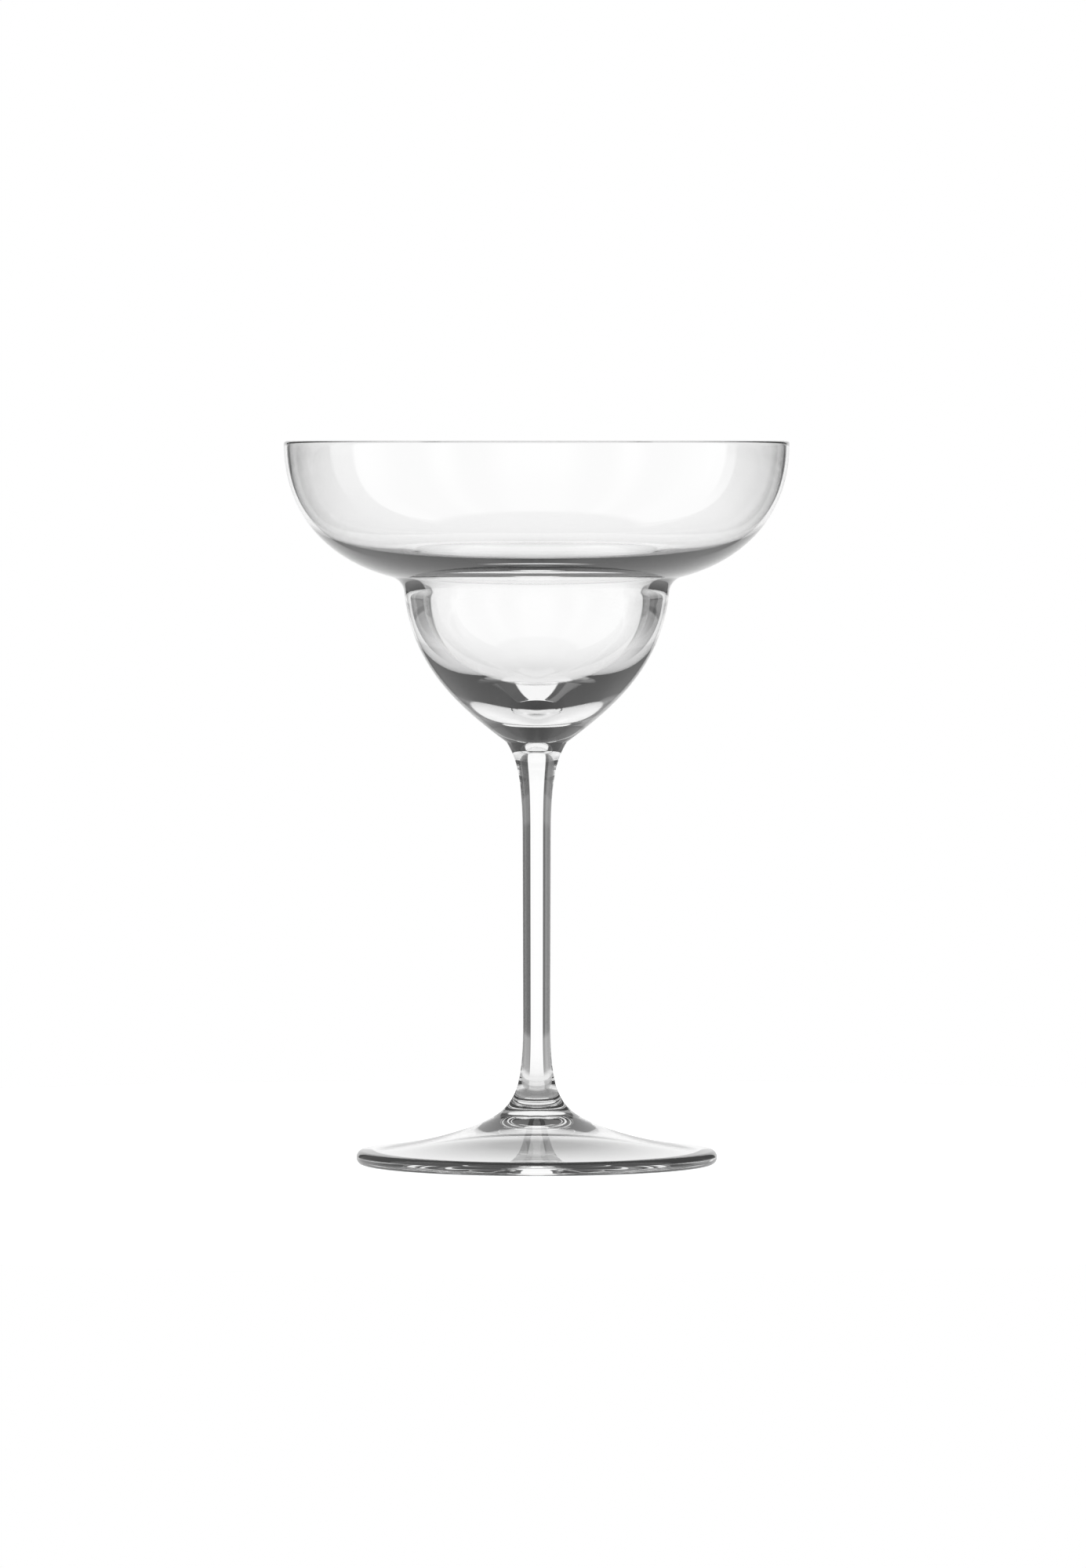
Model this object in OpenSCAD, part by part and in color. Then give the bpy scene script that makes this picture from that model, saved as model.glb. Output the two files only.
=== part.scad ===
// Clear crystal margarita glass: a wide coupe over a round well, on a drawn stem and a broad foot.
// It is made of three gathers of hot glass: the bowl, the stem that is stuck to it, and the foot.
// The axis is +Z and the table is z = 0. Each outline is half of the glass, as [radius, height].

/* [Bowl] */
// Diameter across the lip
lip_d = 115.3; // [104:0.1:130]
// Height of the coupe, from the corner over the well up to the lip
coupe_h = 31.65; // [27:0.05:40]
// Glass at the lip, which is fire-polished round
lip_wall = 1.2; // [0.9:0.1:1.8]
// Glass of the coupe's floor at the corner over the well
coupe_wall = 2.4; // [1.8:0.1:3]
// Slope of the coupe's floor at that corner, outside, in degrees
coupe_slope = 14.5; // [10:0.5:18]
// Slope of the coupe's floor at that corner, inside, in degrees
coupe_inside_slope = 8; // [5:0.5:11]
// Diameter of the well at that corner, outside
well_d = 61; // [54:0.5:68]
// Height of the well, from its seat on the stem up to that corner
well_h = 37; // [32:0.5:44]
// Lean of the well's wall at that corner, outside, in degrees
well_lean = 6; // [3:0.5:10]
// Lean of the well's wall at that corner, inside, in degrees
well_inside_lean = 4; // [2:0.1:6]
// Glass of the well's wall at that corner
well_wall = 4.05; // [3:0.05:5]
// Solid glass between the inside of the well and the stem
well_floor = 8.7; // [7:0.1:13]
// Radius of the hollow corner between coupe and well, outside
waist_r = 3.9; // [2.5:0.1:5]
// Radius of the rounded corner between coupe and well, inside
waist_inside_r = 8; // [6:0.1:10]
// Diameter of the flat where the bowl is stuck to the stem
seat_d = 13.9; // [12:0.1:17]

/* [Stem] */
// Length of the stem between its two flats
stem_h = 85.7; // [70:0.1:110]
// Thickness of the shaft under the neck
shaft_top_d = 6.5; // [5.6:0.1:9]
// Thickness of the shaft over the root
shaft_d = 6.26; // [5.4:0.02:9]
// Length of the neck, which widens up to the bowl
neck_h = 21.7; // [16:0.1:28]
// Length of the root, which widens down to the foot
root_h = 22.35; // [16:0.05:28]
// Diameter of the flat where the stem stands on the foot
root_d = 20.3; // [16:0.1:25]

/* [Foot] */
// Diameter of the foot
foot_d = 82.4; // [72:0.1:96]
// Height of the foot at the flat that carries the stem
foot_h = 10.65; // [9:0.05:15]
// Glass at the foot's edge
edge_h = 3; // [2.4:0.1:4]
// Slope of the foot's top at its edge, in degrees
edge_slope = 5.5; // [3:0.5:9]
// Radius of the rounded edge, above and below
edge_r = 1.4; // [1:0.1:1.8]
// Width of the flat ring that the foot rests on
ring_w = 2.4; // [1.6:0.1:4]
// Glass that is left between the top of the hollow under the foot and the stem
foot_web = 1.25; // [1:0.05:4]

/* [Hidden] */
$fn = 160;

// Parts that each free curve and each rounded corner is drawn in
curve_steps = 28;
corner_steps = 10;

// How far a free curve keeps the direction it starts or ends with, as a share of its height or reach
coupe_side_share = 0.46;
coupe_floor_share = 0.61;
coupe_inside_side_share = 0.48;
coupe_inside_floor_share = 0.52;
well_wall_share = 0.46;
well_seat_share = 0.38;
well_inside_wall_share = 0.63;
well_bottom_share = 0.12;
neck_top_shares = [0.75, 0.2];
neck_shaft_share = 0.56;
root_shaft_share = 0.51;
root_flat_shares = [0.94, 0.16];
foot_flat_shares = [0.16, 0.35];
foot_edge_share = 0.5;
hollow_ring_shares = [0.45, 0.2];
hollow_middle_share = 0.2;

// Slope of the well's underside at its seat on the stem, in degrees
seat_slope = 36.5;

// Heights of the flats and corners over the table
seat_z = foot_h + stem_h;
corner_z = seat_z + well_h;
lip_z = corner_z + coupe_h;
hollow_z = foot_h - foot_web;

// The corner between coupe and well, before it is rounded
corner = [well_d / 2, corner_z];
inside_corner = corner + [-well_wall, coupe_wall];

// Directions that leave a corner: out along the coupe's floor and down along the well's wall
down = -90;
well_down = down - well_lean;
well_inside_down = down - well_inside_lean;

// The point that lies a given distance from p, at a given angle to the horizontal
function toward(p, angle, distance) = p + distance * [cos(angle), sin(angle)];

// A cubic curve from a to d that leaves along b and arrives along c, without its first point
function curve(a, b, c, d) = [
    for (i = [1:curve_steps])
        let (t = i / curve_steps, s = 1 - t)
            s * s * s * a + 3 * s * s * t * b + 3 * s * t * t * c + t * t * t * d
];

// How far from a corner its rounding starts, where the two sides leave the corner at these angles
function reach(angle_in, angle_out, r) = r / tan(abs(angle_out - angle_in) / 2);

// The arc of radius r that rounds a corner from one side to the other, without its first point
function rounded(p, angle_in, angle_out, r) =
    let (
        side = sign(angle_out - angle_in),
        opening = abs(angle_out - angle_in),
        centre = toward(p, (angle_in + angle_out) / 2, r / sin(opening / 2))
    )
    [
        for (i = [1:corner_steps])
            toward(centre, angle_in - side * (90 + (180 - opening) * i / corner_steps), r)
    ];

// The half circle of the lip, from inside to outside, without its first point
function lip() =
    [for (i = [1:corner_steps]) toward([(lip_d - lip_wall) / 2, lip_z - lip_wall / 2],
                                       180 - 180 * i / corner_steps, lip_wall / 2)];

// The drink's side of the bowl, from the middle of the well up to the lip
function bowl_inside() =
    let (
        bottom = [0, seat_z + well_floor],
        side = [lip_d / 2 - lip_wall, lip_z - lip_wall / 2],
        start = reach(well_inside_down, coupe_inside_slope, waist_inside_r),
        wall_pull = well_inside_wall_share * (inside_corner.y - bottom.y),
        floor_pull = coupe_inside_floor_share * (side.x - inside_corner.x)
    )
    concat(
        [bottom],
        curve(
            bottom,
            bottom + [well_bottom_share * inside_corner.x, 0],
            toward(inside_corner, well_inside_down, start + wall_pull),
            toward(inside_corner, well_inside_down, start)
        ),
        rounded(inside_corner, well_inside_down, coupe_inside_slope, waist_inside_r),
        curve(
            toward(inside_corner, coupe_inside_slope, start),
            toward(inside_corner, coupe_inside_slope, start + floor_pull),
            side - [0, coupe_inside_side_share * coupe_h],
            side
        )
    );

// The hand's side of the bowl, from the lip down to the flat on the stem
function bowl_outside() =
    let (
        side = [lip_d / 2, lip_z - lip_wall / 2],
        seat = [seat_d / 2, seat_z],
        start = reach(coupe_slope, well_down, waist_r),
        floor_pull = coupe_floor_share * (side.x - corner.x),
        wall_pull = well_wall_share * well_h
    )
    concat(
        curve(
            side,
            side - [0, coupe_side_share * coupe_h],
            toward(corner, coupe_slope, start + floor_pull),
            toward(corner, coupe_slope, start)
        ),
        rounded(corner, coupe_slope, well_down, waist_r),
        curve(
            toward(corner, well_down, start),
            toward(corner, well_down, start + wall_pull),
            toward(seat, seat_slope, well_seat_share * well_h),
            seat
        )
    );

// The stem's side, from the bowl down to the foot
function stem_side() =
    let (
        top = [seat_d / 2, seat_z],
        shaft_top = [shaft_top_d / 2, seat_z - neck_h],
        shaft_end = [shaft_d / 2, foot_h + root_h],
        flat = [root_d / 2, foot_h],
        neck_in = top.x - shaft_top.x,
        root_out = flat.x - shaft_end.x
    )
    concat(
        [top],
        curve(
            top,
            top - [neck_top_shares.x * neck_in, neck_top_shares.y * neck_h],
            shaft_top + [0, neck_shaft_share * neck_h],
            shaft_top
        ),
        [shaft_end],
        curve(
            shaft_end,
            shaft_end - [0, root_shaft_share * root_h],
            flat + [-root_flat_shares.x * root_out, root_flat_shares.y * root_h],
            flat
        )
    );

// The foot's top, its rounded edge, the ring that it rests on and the hollow under it
function foot_side() =
    let (
        flat = [root_d / 2, foot_h],
        top_corner = [foot_d / 2, edge_h],
        low_corner = [foot_d / 2, 0],
        inward = 180,
        top_inward = inward - edge_slope,
        edge_start = reach(top_inward, down + 360, edge_r),
        top_out = top_corner.x - flat.x,
        ring_r = foot_d / 2 - edge_r - ring_w,
        middle = [0, hollow_z]
    )
    concat(
        [flat],
        curve(
            flat,
            flat + [foot_flat_shares.x * top_out, -foot_flat_shares.y * (foot_h - edge_h)],
            toward(top_corner, top_inward, edge_start + foot_edge_share * top_out),
            toward(top_corner, top_inward, edge_start)
        ),
        rounded(top_corner, top_inward, down + 360, edge_r),
        rounded(low_corner, -down, inward, edge_r),
        [[ring_r, 0]],
        curve(
            [ring_r, 0],
            [ring_r * (1 - hollow_ring_shares.x), hollow_ring_shares.y * hollow_z],
            middle + [hollow_middle_share * ring_r, 0],
            middle
        )
    );

module bowl() {
    color([0.93, 0.96, 0.97, 0.45])
        rotate_extrude()
            polygon(concat(bowl_inside(), lip(), bowl_outside(), [[0, seat_z]]));
}

module stem() {
    color([0.86, 0.9, 0.92, 0.6])
        rotate_extrude()
            polygon(concat([[0, seat_z]], stem_side(), [[0, foot_h]]));
}

module foot() {
    color([0.9, 0.94, 0.95, 0.5])
        rotate_extrude()
            polygon(concat([[0, foot_h]], foot_side()));
}

bowl();
stem();
foot();
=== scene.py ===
"""A clear crystal margarita glass, blown and drawn from three gathers of hot glass, on a pale table."""
import math

import bpy
import numpy as np
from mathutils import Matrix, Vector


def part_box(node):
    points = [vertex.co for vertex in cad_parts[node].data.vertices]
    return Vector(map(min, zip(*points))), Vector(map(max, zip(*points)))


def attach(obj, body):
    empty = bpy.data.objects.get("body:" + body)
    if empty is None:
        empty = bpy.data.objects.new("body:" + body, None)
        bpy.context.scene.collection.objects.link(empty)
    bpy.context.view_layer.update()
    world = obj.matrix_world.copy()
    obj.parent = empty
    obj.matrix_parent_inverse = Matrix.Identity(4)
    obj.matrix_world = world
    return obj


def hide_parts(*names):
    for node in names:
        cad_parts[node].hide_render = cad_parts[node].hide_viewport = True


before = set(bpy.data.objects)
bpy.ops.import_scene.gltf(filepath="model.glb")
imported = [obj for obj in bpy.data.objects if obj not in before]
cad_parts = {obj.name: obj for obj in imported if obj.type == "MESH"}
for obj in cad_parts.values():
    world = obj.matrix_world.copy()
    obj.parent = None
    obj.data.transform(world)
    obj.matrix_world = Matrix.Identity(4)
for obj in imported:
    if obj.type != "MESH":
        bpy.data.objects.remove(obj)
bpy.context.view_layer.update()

MM = 0.001


def extent(node):
    """A CAD node's widest radius, lowest height and highest height, in metres."""
    low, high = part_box(node)
    return high[0], low[2], high[2]


# Places that the frame gives
LIP_R, SEAT_Z, LIP_Z = extent("bowl")
ROOT_R, FOOT_TOP_Z, _ = extent("stem")
FOOT_R, TABLE_Z, _ = extent("foot")

# Bowl
COUPE_H = 31.65 * MM
LIP_WALL = 1.2 * MM
COUPE_WALL = 2.4 * MM
COUPE_SLOPE = 14.5
COUPE_INSIDE_SLOPE = 8
WELL_R = 30.5 * MM
WELL_LEAN = 6
WELL_INSIDE_LEAN = 4
WELL_WALL = 4.05 * MM
WELL_FLOOR = 8.7 * MM
WAIST_R = 3.9 * MM
WAIST_INSIDE_R = 8.0 * MM
SEAT_R = 6.95 * MM
SEAT_SLOPE = 36.5

# Stem
SHAFT_TOP_R = 3.25 * MM
SHAFT_R = 3.13 * MM
NECK_H = 21.7 * MM
ROOT_H = 22.35 * MM

# Foot
EDGE_H = 3.0 * MM
EDGE_SLOPE = 5.5
EDGE_R = 1.4 * MM
RING_W = 2.4 * MM
FOOT_WEB = 1.25 * MM

# How far a free curve keeps the direction it starts or ends with, as a share of its height or reach
COUPE_SIDE_SHARE = 0.46
COUPE_FLOOR_SHARE = 0.61
COUPE_INSIDE_SIDE_SHARE = 0.48
COUPE_INSIDE_FLOOR_SHARE = 0.52
WELL_WALL_SHARE = 0.46
WELL_SEAT_SHARE = 0.38
WELL_INSIDE_WALL_SHARE = 0.63
WELL_BOTTOM_SHARE = 0.12
NECK_TOP_SHARES = (0.75, 0.2)
NECK_SHAFT_SHARE = 0.56
ROOT_SHAFT_SHARE = 0.51
ROOT_FLAT_SHARES = (0.94, 0.16)
FOOT_FLAT_SHARES = (0.16, 0.35)
FOOT_EDGE_SHARE = 0.5
HOLLOW_RING_SHARES = (0.45, 0.2)
HOLLOW_MIDDLE_SHARE = 0.2

# Points along each free curve, each rounded corner and the shaft, and faces around the axis
CURVE_STEPS = 64
CORNER_STEPS = 16
SHAFT_STEPS = 11
AROUND = 288

# Directions, in degrees from the horizontal; the second name for down is a whole turn further on
DOWN = -90
DOWN_AGAIN = 270
INWARD = 180


def point(r, z):
    """A point of an outline, at a radius and a height."""
    return np.array((r, z), dtype=float)


def toward(p, angle, distance):
    """The point at a distance from p, at an angle to the horizontal in degrees."""
    turn = math.radians(angle)
    return p + distance * point(math.cos(turn), math.sin(turn))


def curve(a, b, c, d):
    """Cubic curve from a to d that leaves towards b and arrives from c, without its first point.

    It weighs the four points by s cubed, 3 s squared t, 3 s t squared and t cubed, where s is 1 - t."""
    t = np.linspace(0, 1, CURVE_STEPS + 1)[1:, None]
    s = 1 - t
    return s**3 * a + 3 * s**2 * t * b + 3 * s * t**2 * c + t**3 * d


def reach(angle_in, angle_out, r):
    """How far from a corner its rounding of radius r starts: r over the tangent of half the opening."""
    return r / math.tan(math.radians(abs(angle_out - angle_in)) / 2)


def rounded(p, angle_in, angle_out, r):
    """The arc of radius r that is tangent to both sides of the corner p, without its first point."""
    side = math.copysign(1, angle_out - angle_in)
    opening = abs(angle_out - angle_in)
    centre = toward(p, (angle_in + angle_out) / 2, r / math.sin(math.radians(opening) / 2))
    share = np.arange(1, CORNER_STEPS + 1) / CORNER_STEPS
    turn = np.radians(angle_in - side * (90 + (180 - opening) * share))
    return centre + r * np.stack((np.cos(turn), np.sin(turn)), axis=1)


def bowl_inside(corner):
    """The drink's side: from the middle of the well, round the inner corner and up to the lip."""
    inner = corner + point(-WELL_WALL, COUPE_WALL)
    inner_down = DOWN - WELL_INSIDE_LEAN
    bottom = point(0, SEAT_Z + WELL_FLOOR)
    side = point(LIP_R - LIP_WALL, LIP_Z - LIP_WALL / 2)
    start = reach(inner_down, COUPE_INSIDE_SLOPE, WAIST_INSIDE_R)
    wall_pull = WELL_INSIDE_WALL_SHARE * (inner[1] - bottom[1])
    floor_pull = COUPE_INSIDE_FLOOR_SHARE * (side[0] - inner[0])
    return np.concatenate((
        [bottom],
        curve(bottom, bottom + point(WELL_BOTTOM_SHARE * inner[0], 0),
              toward(inner, inner_down, start + wall_pull), toward(inner, inner_down, start)),
        rounded(inner, inner_down, COUPE_INSIDE_SLOPE, WAIST_INSIDE_R),
        curve(toward(inner, COUPE_INSIDE_SLOPE, start),
              toward(inner, COUPE_INSIDE_SLOPE, start + floor_pull),
              side - point(0, COUPE_INSIDE_SIDE_SHARE * COUPE_H), side),
    ))


def lip():
    """The half circle that the fire rounds the lip to, as wide as its wall, from inside to outside."""
    turn = np.radians(180 - 180 * np.arange(1, CORNER_STEPS + 1) / CORNER_STEPS)
    middle = point(LIP_R - LIP_WALL / 2, LIP_Z - LIP_WALL / 2)
    return middle + LIP_WALL / 2 * np.stack((np.cos(turn), np.sin(turn)), axis=1)


def bowl_outside(corner):
    """The hand's side: from the lip, round the waist and down the well to the seat on the stem."""
    well_down = DOWN - WELL_LEAN
    well_h = corner[1] - SEAT_Z
    side = point(LIP_R, LIP_Z - LIP_WALL / 2)
    seat = point(SEAT_R, SEAT_Z)
    start = reach(COUPE_SLOPE, well_down, WAIST_R)
    floor_pull = COUPE_FLOOR_SHARE * (side[0] - corner[0])
    return np.concatenate((
        curve(side, side - point(0, COUPE_SIDE_SHARE * COUPE_H),
              toward(corner, COUPE_SLOPE, start + floor_pull), toward(corner, COUPE_SLOPE, start)),
        rounded(corner, COUPE_SLOPE, well_down, WAIST_R),
        curve(toward(corner, well_down, start), toward(corner, well_down, start + WELL_WALL_SHARE * well_h),
              toward(seat, SEAT_SLOPE, WELL_SEAT_SHARE * well_h), seat),
    ))


def bowl_outline():
    """From the middle of the well, up the inside, over the lip and down the outside to the seat."""
    corner = point(WELL_R, LIP_Z - COUPE_H)
    return np.concatenate((bowl_inside(corner), lip(), bowl_outside(corner), [(0, SEAT_Z)]))


def stem_outline():
    """From the bowl's seat, down the neck, the shaft and the root, to the foot."""
    top = point(SEAT_R, SEAT_Z)
    shaft_top = point(SHAFT_TOP_R, SEAT_Z - NECK_H)
    shaft_end = point(SHAFT_R, FOOT_TOP_Z + ROOT_H)
    flat = point(ROOT_R, FOOT_TOP_Z)
    neck_in = top[0] - shaft_top[0]
    root_out = flat[0] - shaft_end[0]
    return np.concatenate((
        [(0, SEAT_Z), top],
        curve(top, top - point(NECK_TOP_SHARES[0] * neck_in, NECK_TOP_SHARES[1] * NECK_H),
              shaft_top + point(0, NECK_SHAFT_SHARE * NECK_H), shaft_top),
        np.linspace(shaft_top, shaft_end, SHAFT_STEPS + 1)[1:],
        curve(shaft_end, shaft_end - point(0, ROOT_SHAFT_SHARE * ROOT_H),
              flat + point(-ROOT_FLAT_SHARES[0] * root_out, ROOT_FLAT_SHARES[1] * ROOT_H), flat),
        [(0, FOOT_TOP_Z)],
    ))


def foot_outline():
    """From the stem's seat, out over the top, round the edge, along the ring and up into the hollow."""
    flat = point(ROOT_R, FOOT_TOP_Z)
    top_corner = point(FOOT_R, EDGE_H)
    low_corner = point(FOOT_R, TABLE_Z)
    top_inward = INWARD - EDGE_SLOPE
    start = reach(top_inward, DOWN_AGAIN, EDGE_R)
    top_out = FOOT_R - ROOT_R
    ring_r = FOOT_R - EDGE_R - RING_W
    middle = point(0, FOOT_TOP_Z - FOOT_WEB)
    return np.concatenate((
        [(0, FOOT_TOP_Z), flat],
        curve(flat, flat + point(FOOT_FLAT_SHARES[0] * top_out, -FOOT_FLAT_SHARES[1] * (FOOT_TOP_Z - EDGE_H)),
              toward(top_corner, top_inward, start + FOOT_EDGE_SHARE * top_out),
              toward(top_corner, top_inward, start)),
        rounded(top_corner, top_inward, DOWN_AGAIN, EDGE_R),
        rounded(low_corner, -DOWN, INWARD, EDGE_R),
        [(ring_r, TABLE_Z)],
        curve(point(ring_r, TABLE_Z),
              point(ring_r * (1 - HOLLOW_RING_SHARES[0]), HOLLOW_RING_SHARES[1] * middle[1]),
              middle + point(HOLLOW_MIDDLE_SHARE * ring_r, 0), middle),
    ))


def revolve(name, outline):
    """A closed surface of revolution: x = r cos(a), y = r sin(a), z = z, for each outline point (r, z).

    The outline starts and ends on the axis, where the ring of points shrinks to one pole."""
    r, z = outline[1:-1].T
    a = np.arange(AROUND) * 2 * np.pi / AROUND
    heights = np.repeat(z[:, None], AROUND, axis=1)
    rings = np.stack((np.outer(r, np.cos(a)), np.outer(r, np.sin(a)), heights), axis=2)
    poles = [(0, 0, outline[0][1]), (0, 0, outline[-1][1])]
    verts = np.concatenate((rings.reshape(-1, 3), poles))

    count = len(r)
    i, j = np.meshgrid(np.arange(count - 1), np.arange(AROUND), indexing="ij")
    k = (j + 1) % AROUND
    quads = np.stack((i * AROUND + j, (i + 1) * AROUND + j, (i + 1) * AROUND + k, i * AROUND + k), axis=2)
    j = np.arange(AROUND)
    k = (j + 1) % AROUND
    first = np.stack((np.full(AROUND, count * AROUND), j, k), axis=1)
    base = (count - 1) * AROUND
    last = np.stack((np.full(AROUND, count * AROUND + 1), base + k, base + j), axis=1)

    mesh = bpy.data.meshes.new(name)
    mesh.from_pydata(verts, [], quads.reshape(-1, 4).tolist() + first.tolist() + last.tolist())
    mesh.polygons.foreach_set("use_smooth", np.ones(len(mesh.polygons), dtype=bool))
    return mesh


def linear(code):
    """An sRGB hex colour such as "#f4f6f6" as linear red, green and blue, and an alpha of 1."""
    parts = [int(code[i:i + 2], 16) / 255 for i in (1, 3, 5)]
    return (*(c / 12.92 if c <= 0.04045 else ((c + 0.055) / 1.055)**2.4 for c in parts), 1)


def grey(code):
    """The linear level of a grey sRGB hex colour."""
    return linear(code)[0]


def add(tree, kind, settings=None, links=None):
    """Add a node, set its properties or the values of its sockets, and link its inputs to outputs."""
    node = tree.nodes.new(kind)
    for name, value in (settings or {}).items():
        if isinstance(name, int) or name in node.inputs:
            node.inputs[name].default_value = value
        else:
            setattr(node, name, value)
    for name, output in (links or {}).items():
        tree.links.new(output, node.inputs[name])
    return node


def new_material(name):
    """A material without nodes, and its node tree."""
    material = bpy.data.materials.new(name)
    material.use_nodes = True
    material.node_tree.nodes.clear()
    return material, material.node_tree


def seen_by_glass(tree):
    """1 for a ray that glass or gloss has bent or thrown back, and 0 for one straight from the camera."""
    path = add(tree, "ShaderNodeLightPath")
    either = add(tree, "ShaderNodeMath", {"operation": "MAXIMUM"}, {
        0: path.outputs["Is Glossy Ray"], 1: path.outputs["Is Transmission Ray"]})
    return either.outputs[0]


# The gather flows round the axis as it is turned, so its waves are long and low: this many in the span
WAVES = 7
WAVES_SPAN = 100 * MM
WAVE_DETAIL = 1.0
WAVE_HEIGHT = 0.05 * MM
WAVE_STRENGTH = 0.06
CRYSTAL_IOR = 1.54
# The renderer ends a path in black after its fifth reflection, which leaves black lines in thick edges.
# There the glass gives off a dim grey instead, which stands in for the light still trapped in it. The
# count lies between the fourth and the fifth, and the grey was chosen to match the photograph's dark bands
TRAPPED_REFLECTIONS = 4.5
TRAPPED_LEVEL = "#404040"


def crystal_glass():
    """Crystal, blown and fire-polished: clear to the edge, with a faint waviness from the hot tool."""
    material, tree = new_material("fire_polished_crystal")
    place = add(tree, "ShaderNodeTexCoord")
    wave = add(tree, "ShaderNodeTexNoise", {"Scale": WAVES / WAVES_SPAN, "Detail": WAVE_DETAIL},
               {"Vector": place.outputs["Object"]})
    bump = add(tree, "ShaderNodeBump", {"Strength": WAVE_STRENGTH, "Distance": WAVE_HEIGHT},
               {"Height": wave.outputs["Fac"]})
    path = add(tree, "ShaderNodeLightPath")
    trapped = add(tree, "ShaderNodeMath", {"operation": "GREATER_THAN", 1: TRAPPED_REFLECTIONS},
                  {0: path.outputs["Glossy Depth"]})
    glass = add(tree, "ShaderNodeBsdfPrincipled", {
        "Base Color": linear("#ffffff"),
        "Roughness": 0,
        "IOR": CRYSTAL_IOR,
        "Transmission Weight": 1,
        "Emission Color": linear(TRAPPED_LEVEL),
    }, {"Normal": bump.outputs["Normal"], "Emission Strength": trapped.outputs[0]})
    # Lamps reach the table through clear glass, a little weaker at each wall
    through = add(tree, "ShaderNodeBsdfTransparent", {"Color": linear("#f0f2f2")})
    mix = add(tree, "ShaderNodeMixShader", links={
        0: path.outputs["Is Shadow Ray"], 1: glass.outputs[0], 2: through.outputs[0]})
    add(tree, "ShaderNodeOutputMaterial", links={"Surface": mix.outputs[0]})
    return material


def fused_joint():
    """Where two gathers were fused hot there is no surface at all, so light passes straight on."""
    material, tree = new_material("fused_joint")
    clear = add(tree, "ShaderNodeBsdfTransparent")
    add(tree, "ShaderNodeOutputMaterial", links={"Surface": clear.outputs[0]})
    return material


def piece(node, outline, materials, fused_first, fused_last):
    """Make a glass piece that stands for a CAD node; its fused ends are the flat discs at its poles."""
    mesh = revolve(node + "_glass", outline)
    for material in materials:
        mesh.materials.append(material)
    count = len(mesh.polygons)
    slots = np.zeros(count, dtype=np.int32)
    ring = np.arange(AROUND)
    rings = len(outline) - 2
    sharp = set()
    if fused_first:
        slots[count - 2 * AROUND:count - AROUND] = 1
        sharp.update(ring)
    if fused_last:
        slots[count - AROUND:] = 1
        sharp.update(ring + (rings - 1) * AROUND)
    mesh.polygons.foreach_set("material_index", slots)
    ends = np.empty(2 * len(mesh.edges), dtype=np.int32)
    mesh.edges.foreach_get("vertices", ends)
    on_ring = np.isin(ends.reshape(-1, 2), list(sharp)).all(axis=1)
    mesh.edges.foreach_set("use_edge_sharp", on_ring)
    mesh.update()
    made = bpy.data.objects.new(node + "_glass", mesh)
    bpy.context.scene.collection.objects.link(made)
    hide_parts(node)
    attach(made, "root")


finishes = (crystal_glass(), fused_joint())
piece("bowl", bowl_outline(), finishes, fused_first=False, fused_last=True)
piece("stem", stem_outline(), finishes, fused_first=True, fused_last=True)
piece("foot", foot_outline(), finishes, fused_first=True, fused_last=False)

# The studio round the glass, as seen through it: bright windows and dark flags by compass angle,
# in degrees from straight ahead of the camera or straight behind it, with positive angles to the right.
# The angles and levels were chosen until the glass had the photograph's tones
WINDOW = grey("#ffffff")
FLAG = grey("#525252")
SIDE_FLAG = grey("#7c7c7c")
STRIPE = grey("#6a6a6a")
SCREEN = grey("#e8e8e8")
AHEAD = (
    (-90, WINDOW), (-71, SIDE_FLAG), (-27, FLAG), (-19, WINDOW),
    (19, FLAG), (40, STRIPE), (48, FLAG), (83, WINDOW),
)
BEHIND = (
    (-90, WINDOW), (-71, SCREEN), (-49, WINDOW), (-41, SCREEN), (-19, WINDOW),
    (19, SCREEN), (41, WINDOW), (49, SCREEN), (81, WINDOW),
)
SHARP_EDGE = 0.8
SOFT_EDGE = 6
# The studio fades into the pale floor below and the dark ceiling above, in degrees of height. The floor's
# level was chosen for the view from above
FLOOR_FADE = (-37, -5)
CEILING_FADE = (57, 64)
FLOOR_LEVEL = "#e6e6e6"
# How open the studio is to its pale wall beside the window straight ahead, by height: under the flags,
# and in a low gap between them
OPEN_HEIGHTS = ((-90, 0.3), (-4.5, 0.0), (-1.1, 0.12), (4, 0.0))
OPEN_EDGE = 0.4
OPEN_SIDE = (19, 22)
OPEN_LEVEL = "#e8e8e8"


def half_turn_share(angle):
    """How far an angle lies between -90 and 90 degrees."""
    return (angle + 90) / 180


def levels_by_angle(tree, table, edge, share):
    """The level at a compass angle or a height: each entry of the table holds from its angle to the next."""
    ramp = add(tree, "ShaderNodeValToRGB", links={0: share})
    stops = ramp.color_ramp.elements
    level = table[0][1]
    for place, stop in zip((0, 1), stops):
        stop.position = place
    stops[0].color = (level, level, level, 1)
    for start, new_level in table[1:]:
        for at, value in ((start - edge, level), (start + edge, new_level)):
            stops.new(half_turn_share(at)).color = (value, value, value, 1)
        level = new_level
    stops[len(stops) - 1].color = (level, level, level, 1)
    return ramp.outputs["Color"]


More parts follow.
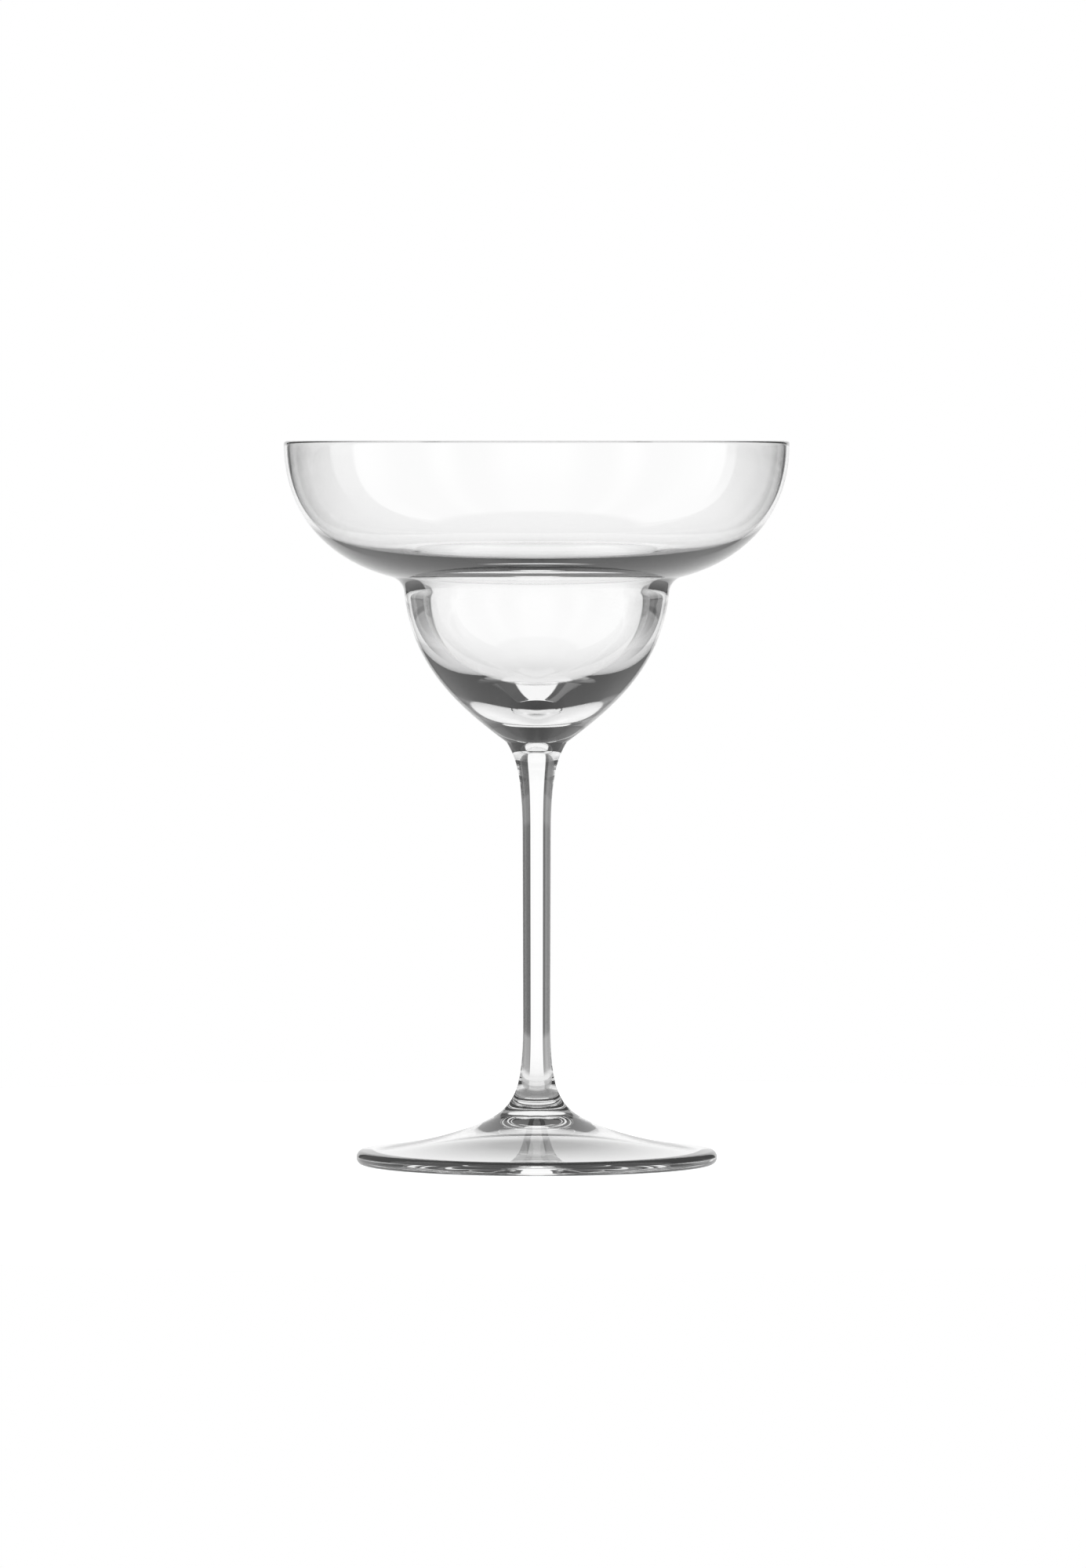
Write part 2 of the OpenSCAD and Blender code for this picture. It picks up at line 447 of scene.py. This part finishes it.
def studio_world():
    """White to the camera; to glass and gloss, windows between dark flags that stand round the table."""
    world = bpy.data.worlds.new("studio")
    bpy.context.scene.world = world
    world.use_nodes = True
    tree = world.node_tree
    tree.nodes.clear()
    place = add(tree, "ShaderNodeTexCoord")
    axes = add(tree, "ShaderNodeSeparateXYZ", links={0: place.outputs["Generated"]})
    depth = add(tree, "ShaderNodeMath", {"operation": "ABSOLUTE"}, {0: axes.outputs["Y"]})
    turn = add(tree, "ShaderNodeMath", {"operation": "ARCTAN2"}, {0: axes.outputs["X"], 1: depth.outputs[0]})
    height = add(tree, "ShaderNodeMath", {"operation": "ARCSINE"}, {0: axes.outputs["Z"]})
    compass, upright = (add(tree, "ShaderNodeMapRange", {
        "From Min": -math.pi / 2, "From Max": math.pi / 2}, {"Value": angle.outputs[0]})
        for angle in (turn, height))
    is_ahead = add(tree, "ShaderNodeMath", {"operation": "GREATER_THAN", 1: 0}, {0: axes.outputs["Y"]})
    around = add(tree, "ShaderNodeMix", {"data_type": "RGBA"}, {
        0: is_ahead.outputs[0],
        6: levels_by_angle(tree, BEHIND, SOFT_EDGE, compass.outputs[0]),
        7: levels_by_angle(tree, AHEAD, SHARP_EDGE, compass.outputs[0])})
    aside = add(tree, "ShaderNodeMath", {"operation": "ABSOLUTE"}, {0: turn.outputs[0]})
    start, end = OPEN_SIDE
    beside = add(tree, "ShaderNodeMapRange", {
        "From Min": math.radians(start), "From Max": math.radians(end)}, {"Value": aside.outputs[0]})
    beside_ahead = add(tree, "ShaderNodeMath", {"operation": "MULTIPLY"}, {
        0: beside.outputs[0], 1: is_ahead.outputs[0]})
    opened = add(tree, "ShaderNodeMath", {"operation": "MULTIPLY"}, {
        0: beside_ahead.outputs[0],
        1: levels_by_angle(tree, OPEN_HEIGHTS, OPEN_EDGE, upright.outputs[0])})
    sides = add(tree, "ShaderNodeMix", {"data_type": "RGBA", 7: linear(OPEN_LEVEL)}, {
        0: opened.outputs[0], 6: around.outputs[2]})
    under, over = (add(tree, "ShaderNodeMapRange", {
        "interpolation_type": "SMOOTHSTEP", "From Min": math.radians(start), "From Max": math.radians(end)},
        {"Value": height.outputs[0]}) for start, end in (FLOOR_FADE[::-1], CEILING_FADE))
    walls = add(tree, "ShaderNodeMix", {"data_type": "RGBA", 7: linear(FLOOR_LEVEL)}, {
        0: under.outputs[0], 6: sides.outputs[2]})
    whole = add(tree, "ShaderNodeMix", {"data_type": "RGBA", 7: (FLAG, FLAG, FLAG, 1)}, {
        0: over.outputs[0], 6: walls.outputs[2]})
    seen = add(tree, "ShaderNodeBackground", {"Strength": 1.0}, {"Color": whole.outputs[2]})
    plain = add(tree, "ShaderNodeBackground", {"Color": linear("#ffffff"), "Strength": 1.0})
    share = add(tree, "ShaderNodeMixShader", links={
        0: seen_by_glass(tree), 1: plain.outputs[0], 2: seen.outputs[0]})
    add(tree, "ShaderNodeOutputWorld", links={"Surface": share.outputs[0]})


studio_world()

TABLE_R = 0.30
TABLE_CORNERS = 128
# The table lies this far under the foot, so that no two faces coincide
TABLE_GAP = 0.2 * MM
TABLE_LIFT = 0.35
# What the glass sees of the table, by distance from the axis in metres: a painted glow that grows outwards
# from a painted shadow under the stem, and nothing past its end
GLOW_R = (0.01, 0.045)
GLOW_LEVELS = (0.25, 0.85)
GLOW_END_R = (0.06, 0.08)


def table():
    """A pale matt table, white to the camera where no shadow lies.

    Glass sees another table, so that the foot has the photograph's tones: a painted glow, with painted shade
    under the stem, brightening further out, and open to the studio past the foot."""
    a = np.arange(TABLE_CORNERS) * 2 * np.pi / TABLE_CORNERS
    heights = np.full(TABLE_CORNERS, TABLE_Z - TABLE_GAP)
    ring = np.stack((TABLE_R * np.cos(a), TABLE_R * np.sin(a), heights), axis=1)
    mesh = bpy.data.meshes.new("table")
    mesh.from_pydata(ring, [], [list(range(TABLE_CORNERS))])
    material, tree = new_material("matt_white_acrylic")
    pale = add(tree, "ShaderNodeBsdfDiffuse", {"Color": linear("#e6e6e6")})
    lift = add(tree, "ShaderNodeEmission", {"Color": linear("#ffffff"), "Strength": TABLE_LIFT})
    both = add(tree, "ShaderNodeAddShader", links={0: pale.outputs[0], 1: lift.outputs[0]})
    place = add(tree, "ShaderNodeTexCoord")
    away = add(tree, "ShaderNodeVectorMath", {"operation": "LENGTH"}, {0: place.outputs["Object"]})
    # Painted light for glass to see: a painted shadow under the stem, brightening to a painted glow further
    # out
    level = add(tree, "ShaderNodeMapRange", {
        "From Min": GLOW_R[0], "From Max": GLOW_R[1], "To Min": GLOW_LEVELS[0], "To Max": GLOW_LEVELS[1]},
        {"Value": away.outputs["Value"]})
    near = add(tree, "ShaderNodeEmission", {"Color": linear("#ffffff")}, {"Strength": level.outputs[0]})
    far = add(tree, "ShaderNodeBsdfTransparent")
    past = add(tree, "ShaderNodeMapRange", {"From Min": GLOW_END_R[0], "From Max": GLOW_END_R[1]},
               {"Value": away.outputs["Value"]})
    through = add(tree, "ShaderNodeMixShader", links={
        0: past.outputs[0], 1: near.outputs[0], 2: far.outputs[0]})
    mix = add(tree, "ShaderNodeMixShader", links={
        0: seen_by_glass(tree), 1: both.outputs[0], 2: through.outputs[0]})
    add(tree, "ShaderNodeOutputMaterial", links={"Surface": mix.outputs[0]})
    mesh.materials.append(material)
    made = bpy.data.objects.new("table", mesh)
    bpy.context.scene.collection.objects.link(made)


table()

# In metres and watts
SOFTBOX_SIZE = 1.2
SOFTBOX_POWER = 18
SOFTBOX_Z = 1.4


def softbox():
    """One broad soft lamp overhead, which the glass neither mirrors nor shows."""
    lamp = bpy.data.lights.new("softbox", "AREA")
    lamp.shape = "DISK"
    lamp.size = SOFTBOX_SIZE
    lamp.energy = SOFTBOX_POWER
    made = bpy.data.objects.new("softbox", lamp)
    made.location = (0, 0, SOFTBOX_Z)
    made.visible_glossy = False
    made.visible_transmission = False
    bpy.context.scene.collection.objects.link(made)


softbox()

# The photograph's camera: level with the lip, tilted down towards the middle of the glass, in metres
EYE_DISTANCE = 2.3
SENSOR_MM = 36
VIEW_END = 20
# In the photograph's pixels: its height and the glass's, and how far from the picture's middle the axis
# lies to the left and the lip above
FRAME_PX = 2000
GLASS_PX = 922.6
AXIS_LEFT_PX = 8
LIP_ABOVE_MIDDLE_PX = 437.5


def camera():
    """A camera whose lens shows the glass as tall as in the photograph, from the distance given."""
    pixels_per_metre = GLASS_PX / (LIP_Z - TABLE_Z)
    focal_pixels = pixels_per_metre * EYE_DISTANCE
    lens = bpy.data.cameras.new("camera")
    lens.sensor_fit = "VERTICAL"
    lens.sensor_height = SENSOR_MM
    lens.lens = SENSOR_MM * focal_pixels / FRAME_PX
    lens.clip_end = VIEW_END
    made = bpy.data.objects.new("camera", lens)
    made.location = (AXIS_LEFT_PX / pixels_per_metre, -EYE_DISTANCE, LIP_Z)
    made.rotation_euler = (math.pi / 2 - math.atan(LIP_ABOVE_MIDDLE_PX / focal_pixels), 0, 0)
    bpy.context.scene.collection.objects.link(made)
    bpy.context.scene.camera = made


camera()

bpy.context.scene.view_settings.view_transform = "Standard"
